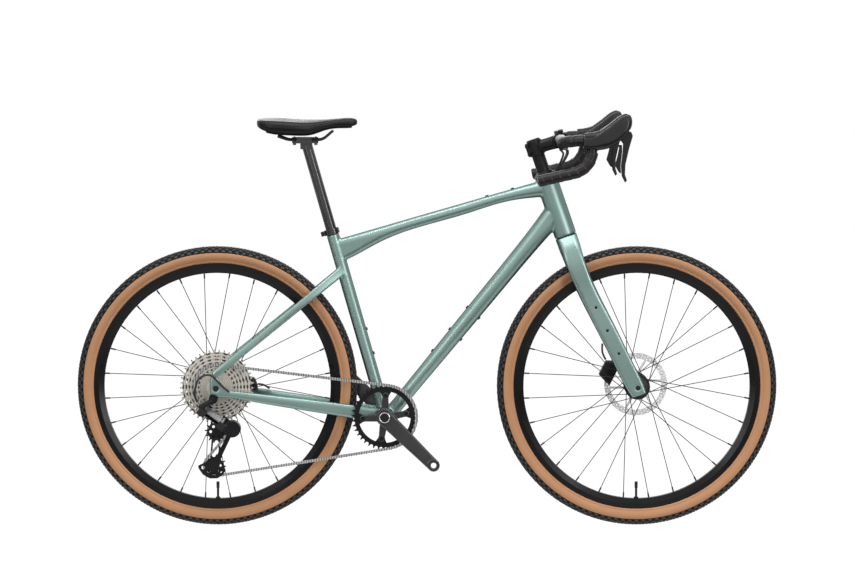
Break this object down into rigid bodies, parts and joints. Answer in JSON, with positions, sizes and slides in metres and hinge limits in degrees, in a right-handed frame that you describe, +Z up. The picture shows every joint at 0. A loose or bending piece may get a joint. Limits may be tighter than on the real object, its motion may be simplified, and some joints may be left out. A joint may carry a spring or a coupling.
{
  "type": "gravel bike",
  "caption": "Drop-bar gravel bike with disc brakes, single chainring, wide-range cassette, rear derailleur and knobbly tan-wall tyres; steers, rolls, pedals, shifts and brakes.",
  "frame": {"origin": "on the ground under the middle of the wheelbase, in the bike's centre plane", "axes": "+X forward, +Y to the bike's left, +Z up; the drive side is -Y"},
  "size_m": [1.7738, 0.49, 1.0497],
  "materials": {
    "frame_paint": "metallic satin",
    "black_alloy": "anodised satin",
    "grey_alloy": "polished dark",
    "silver_alloy": "satin",
    "steel": "brushed",
    "black_steel": "blackened",
    "cassette_steel": "satin nickel",
    "rim_black": "satin black",
    "tyre_rubber": "matte tread with tan sidewall",
    "hood_rubber": "soft matte",
    "black_plastic": "matte",
    "bar_wrap": "cushioned wrap",
    "saddle_cover": "smooth synthetic cover"
  },
  "bodies": {
    "frame": {"head_tube": "frame_paint", "top_tube": "frame_paint", "down_tube": "frame_paint", "seat_tube": "frame_paint", "bottom_bracket_shell": "frame_paint", "bottom_bracket_cups": "black_alloy", "chainstays": "frame_paint", "seatstays": "frame_paint", "dropouts": "frame_paint", "seat_collar": "black_alloy", "frame_bolts": "black_steel", "headset_bearings": "steel", "rear_axle": "black_alloy", "rear_caliper": "black_alloy", "frame_cables": "hood_rubber", "derailleur_hanger": "black_alloy", "derailleur_knuckle": "black_alloy", "chain": "steel"},
    "seatpost": {"seatpost": "black_alloy", "saddle_clamp": "black_alloy", "saddle_rails": "black_steel", "saddle_shell": "black_plastic", "saddle_cover": "saddle_cover"},
    "steering": {"fork": "frame_paint", "headset_stack": "black_alloy", "stem": "black_alloy", "stem_faceplate": "black_alloy", "stem_bolts": "black_steel", "handlebar": "black_alloy", "bar_tape": "bar_wrap", "control_bodies": "black_plastic", "hoods": "hood_rubber", "control_cables": "hood_rubber", "front_axle": "black_alloy", "front_caliper": "black_alloy"},
    "brake_lever_right": {"brake_lever_right": "grey_alloy"},
    "shift_lever": {"shift_paddle": "black_plastic"},
    "brake_lever_left": {"brake_lever_left": "grey_alloy"},
    "front_wheel": {"front_tyre": "tyre_rubber", "front_rim": "rim_black", "front_spokes": "black_steel", "front_hub": "black_alloy", "front_rotor": "steel", "front_valve": "steel"},
    "rear_wheel": {"rear_tyre": "tyre_rubber", "rear_rim": "rim_black", "rear_spokes": "black_steel", "rear_hub": "black_alloy", "rear_rotor": "steel", "rear_valve": "steel"},
    "cassette": {"cassette": "cassette_steel"},
    "crank": {"crank_arm_right": "grey_alloy", "crank_arm_left": "grey_alloy", "chainring": "black_alloy"},
    "derailleur_outer_link": {"derailleur_outer_link": "silver_alloy"},
    "derailleur_inner_link": {"derailleur_inner_link": "black_alloy"},
    "derailleur_moving_knuckle": {"derailleur_moving_knuckle": "black_alloy"},
    "derailleur_cage": {"derailleur_cage": "black_alloy"},
    "guide_pulley": {"guide_pulley": "black_plastic"},
    "tension_pulley": {"tension_pulley": "black_plastic"}
  },
  "joints": [
    {"name": "seatpost_slide", "type": "slide", "parent": "frame", "child": "seatpost", "axis": [-0.2756, 0, 0.9613], "range_m": [-0.1, 0.025]},
    {"name": "steering_turn", "type": "hinge", "parent": "frame", "child": "steering", "pos_m": [0.35078, 0, 0.73599], "axis": [-0.3256, 0, 0.9455], "range_deg": [-60, 60]},
    {"name": "brake_pull_right", "type": "hinge", "parent": "steering", "child": "brake_lever_right", "pos_m": [0.47027, -0.213, 1.00167], "axis": [0, 1, 0], "range_deg": [0, 20], "stiffness_Nm_per_rad": 4, "springref_deg": -14.32},
    {"name": "shift_press", "type": "hinge", "parent": "brake_lever_right", "child": "shift_lever", "pos_m": [0.47927, -0.213, 0.96967], "axis": [1, 0, 0], "range_deg": [0, 14], "stiffness_Nm_per_rad": 0.5, "springref_deg": -11.46},
    {"name": "brake_pull_left", "type": "hinge", "parent": "steering", "child": "brake_lever_left", "pos_m": [0.47027, 0.213, 1.00167], "axis": [0, 1, 0], "range_deg": [0, 20], "stiffness_Nm_per_rad": 4, "springref_deg": -14.32},
    {"name": "front_wheel_spin", "type": "hinge", "parent": "steering", "child": "front_wheel", "pos_m": [0.5315, 0, 0.3555], "axis": [0, 1, 0], "continuous": true},
    {"name": "rear_wheel_spin", "type": "hinge", "parent": "frame", "child": "rear_wheel", "pos_m": [-0.5315, 0, 0.3555], "axis": [0, 1, 0], "continuous": true},
    {"name": "crank_spin", "type": "hinge", "parent": "frame", "child": "crank", "pos_m": [-0.10699, 0, 0.281], "axis": [0, 1, 0], "continuous": true, "deforming": ["chain"]},
    {"name": "cassette_spin", "type": "hinge", "parent": "frame", "child": "cassette", "pos_m": [-0.5315, 0, 0.3555], "axis": [0, 1, 0], "continuous": true},
    {"name": "derailleur_shift", "type": "hinge", "parent": "frame", "child": "derailleur_outer_link", "pos_m": [-0.556, -0.07, 0.303], "axis": [0.418, 0.7141, 0.5615], "range_deg": [-38, 17], "deforming": ["chain"]},
    {"name": "derailleur_inner_follow", "type": "hinge", "parent": "frame", "child": "derailleur_inner_link", "pos_m": [-0.56197, -0.0602, 0.29498], "axis": [0.418, 0.7141, 0.5615], "range_deg": [-38, 17]},
    {"name": "derailleur_knuckle_follow", "type": "hinge", "parent": "derailleur_outer_link", "child": "derailleur_moving_knuckle", "pos_m": [-0.51429, -0.07, 0.27195], "axis": [0.418, 0.7141, 0.5615], "range_deg": [-17, 38]},
    {"name": "cage_swing", "type": "hinge", "parent": "derailleur_moving_knuckle", "child": "derailleur_cage", "pos_m": [-0.4905, -0.055, 0.253], "axis": [0, 1, 0], "range_deg": [-30, 12], "stiffness_Nm_per_rad": 1.5, "deforming": ["chain"]},
    {"name": "guide_pulley_spin", "type": "hinge", "parent": "derailleur_cage", "child": "guide_pulley", "pos_m": [-0.53253, -0.0386, 0.24261], "axis": [0, 1, 0], "continuous": true},
    {"name": "tension_pulley_spin", "type": "hinge", "parent": "derailleur_cage", "child": "tension_pulley", "pos_m": [-0.53776, -0.0386, 0.15613], "axis": [0, 1, 0], "continuous": true}
  ],
  "couplings": [
    {"joint": "cassette_spin", "follows": "crank_spin", "ratio": 1.4286},
    {"joint": "guide_pulley_spin", "follows": "crank_spin", "ratio": -3.0769},
    {"joint": "tension_pulley_spin", "follows": "crank_spin", "ratio": 3.0769},
    {"joint": "derailleur_inner_follow", "follows": "derailleur_shift", "ratio": 1},
    {"joint": "derailleur_knuckle_follow", "follows": "derailleur_shift", "ratio": -1}
  ]
}
